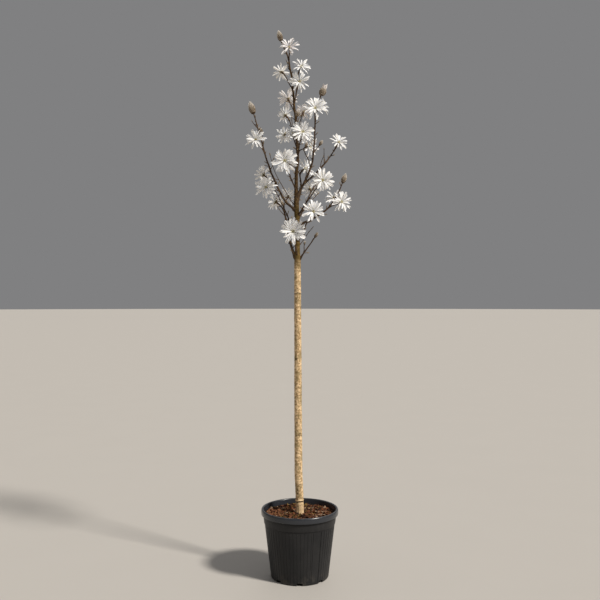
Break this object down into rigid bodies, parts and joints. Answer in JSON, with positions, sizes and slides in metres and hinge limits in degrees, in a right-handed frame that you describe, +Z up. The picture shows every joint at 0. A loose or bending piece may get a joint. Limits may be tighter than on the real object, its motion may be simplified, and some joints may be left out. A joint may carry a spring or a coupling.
{
  "type": "potted star magnolia standard tree",
  "caption": "Young star magnolia standard in a round nursery pot: a clear straight stem under a small open crown of strap-petalled white flowers and furry buds, bare of leaves.",
  "frame": {"origin": "centre of the pot's flat underside, on the ground", "axes": "+Z up along the stem, +X to the right and +Y away as seen from the front, where the largest low flower faces -Y"},
  "size_m": [0.4147, 0.3489, 2.1536],
  "materials": {
    "pot": "satin black moulded plastic",
    "compost": "coarse bark mulch",
    "bark": "pale tan bark with fine cross bands",
    "twigs_and_blossom": "soft white petals on dark twigs"
  },
  "bodies": {
    "root": {"bough_back": "bark", "bough_left_high": "bark", "bough_left_low": "bark", "bough_right_high": "bark", "bough_right_low": "bark", "bough_right_wide": "bark", "compost": "compost", "pot": "pot", "spray_back_left": "twigs_and_blossom", "spray_back_low": "twigs_and_blossom", "spray_back_mid": "twigs_and_blossom", "spray_back_right": "twigs_and_blossom", "spray_front_left": "twigs_and_blossom", "spray_front_low": "twigs_and_blossom", "spray_front_right_low": "twigs_and_blossom", "spray_leader_tip": "twigs_and_blossom", "spray_left_high": "twigs_and_blossom", "spray_left_low": "twigs_and_blossom", "spray_mid_back_left": "twigs_and_blossom", "spray_mid_front": "twigs_and_blossom", "spray_mid_left": "twigs_and_blossom", "spray_right_front": "twigs_and_blossom", "spray_right_high": "twigs_and_blossom", "spray_right_low": "twigs_and_blossom", "spray_right_shoot": "twigs_and_blossom", "spray_right_wide": "twigs_and_blossom", "spray_top_back": "twigs_and_blossom", "spray_top_front": "twigs_and_blossom", "spray_upper_back_left": "twigs_and_blossom", "spray_upper_back_right": "twigs_and_blossom", "trunk": "bark"}
  },
  "joints": []
}
